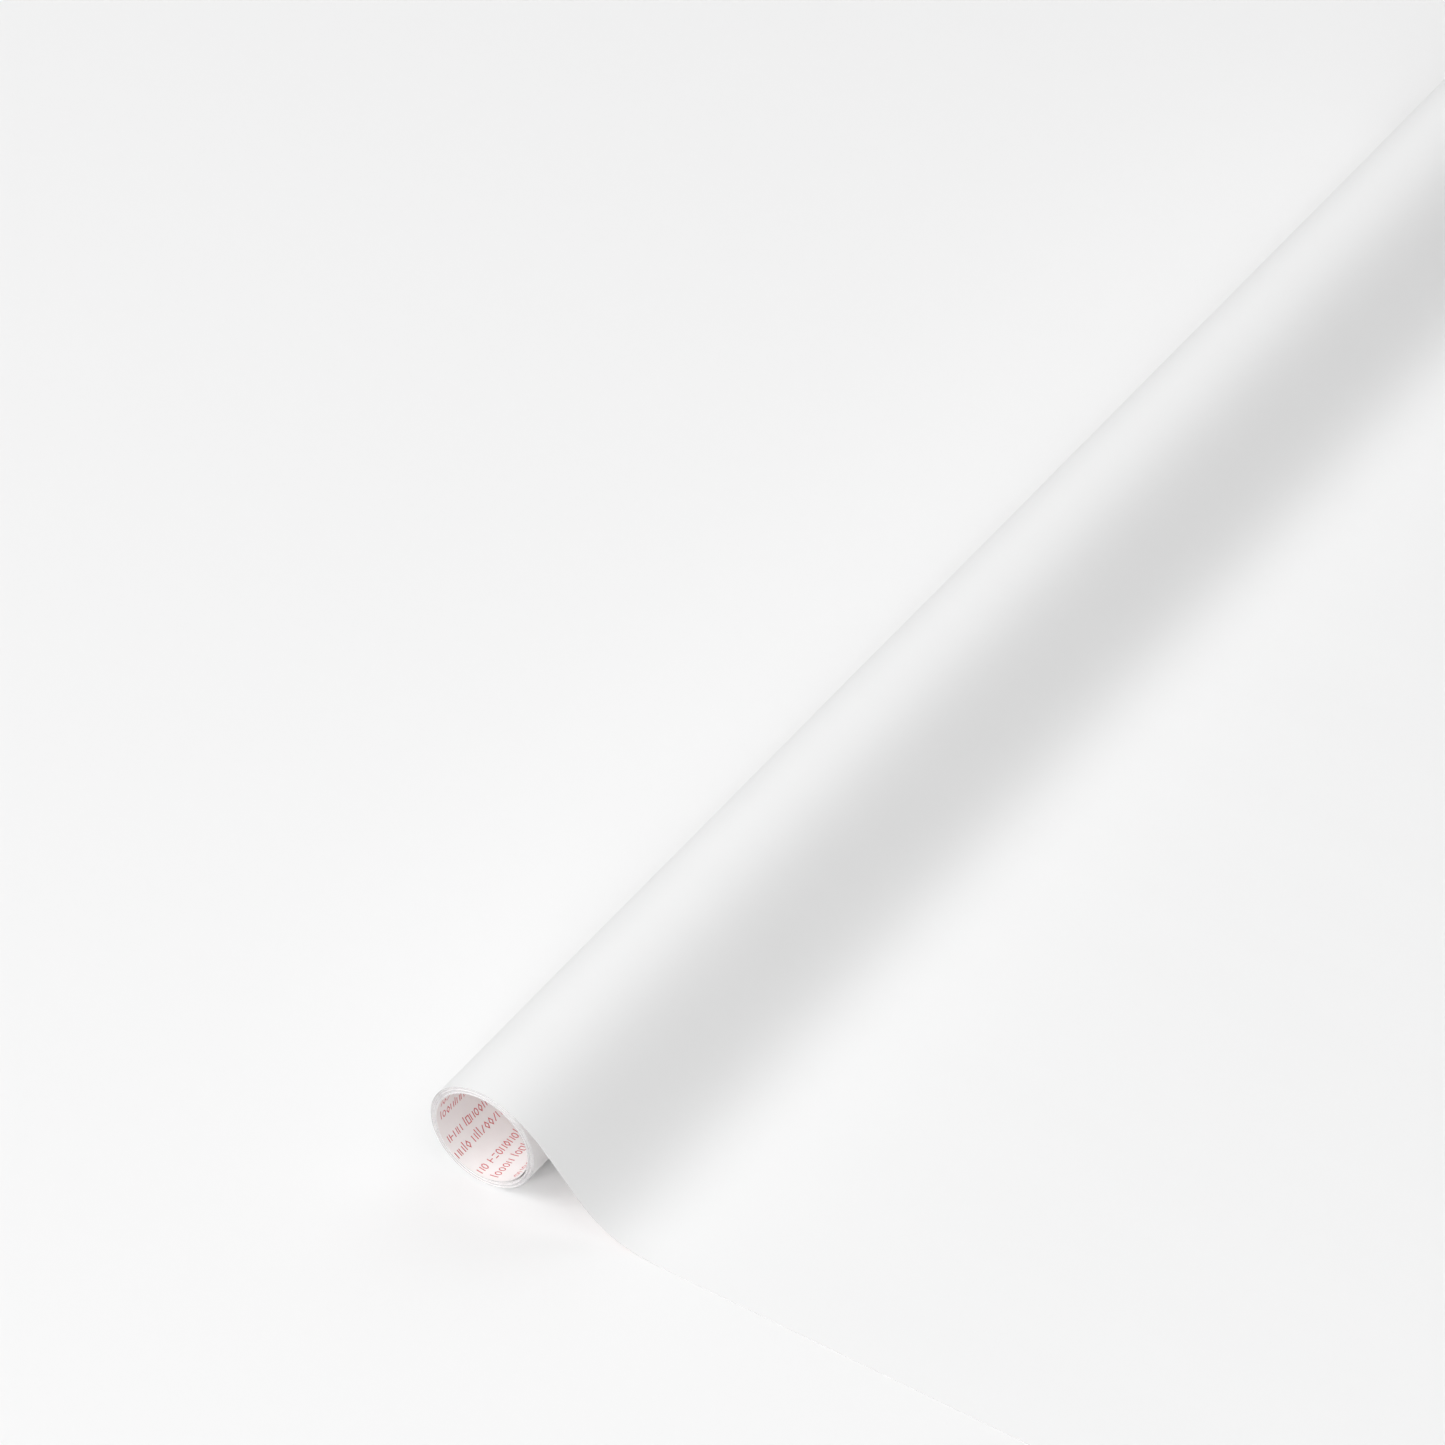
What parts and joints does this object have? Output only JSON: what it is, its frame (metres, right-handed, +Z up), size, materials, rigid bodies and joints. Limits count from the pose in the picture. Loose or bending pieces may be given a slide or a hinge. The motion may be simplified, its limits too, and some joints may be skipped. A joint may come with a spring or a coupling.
{
  "type": "self-adhesive film roll",
  "caption": "Coreless roll of white self-adhesive film on a printed paper liner, partly unrolled onto a table; it unrolls, and the film peels off the liner.",
  "frame": {"origin": "on the table, under the middle of the whole piece's bounding box", "axes": "+X along the roll, -Y the way the loose sheet runs, +Z up"},
  "size_m": [0.675, 0.5534, 0.0392],
  "materials": {
    "film": "satin white soft vinyl",
    "adhesive": "clear tacky coating, glossy, looks milky over the white film",
    "liner": "smooth siliconised paper, white with a faint pink cast from the red print",
    "print_ink": "thin matt red print on the liner"
  },
  "bodies": {
    "span": {"film_span": "film", "adhesive_span": "adhesive", "liner_span": "liner"},
    "roll": {"film_wound": "film", "adhesive_wound": "adhesive", "liner_wound": "liner"},
    "laid_sheet": {"film_laid": "film", "adhesive_laid": "adhesive", "liner_laid": "liner"},
    "peel_tail": {"film_tail": "film", "adhesive_tail": "adhesive"}
  },
  "joints": [
    {"name": "sheet_pull", "type": "slide", "parent": "span", "child": "laid_sheet", "axis": [0, -1, 0], "range_m": [0, 0.369]},
    {"name": "roll_turn", "type": "hinge", "parent": "span", "child": "roll", "pos_m": [0, 0.25706, 0.0196], "axis": [1, 0, 0], "range_deg": [0, 1080]},
    {"name": "film_peel", "type": "hinge", "parent": "laid_sheet", "child": "peel_tail", "pos_m": [0, -0.19666, 0.00017], "axis": [-1, 0, 0], "range_deg": [0, 150]}
  ],
  "couplings": [
    {"joint": "roll_turn", "follows": "sheet_pull", "rad_per_m": 51.02}
  ]
}
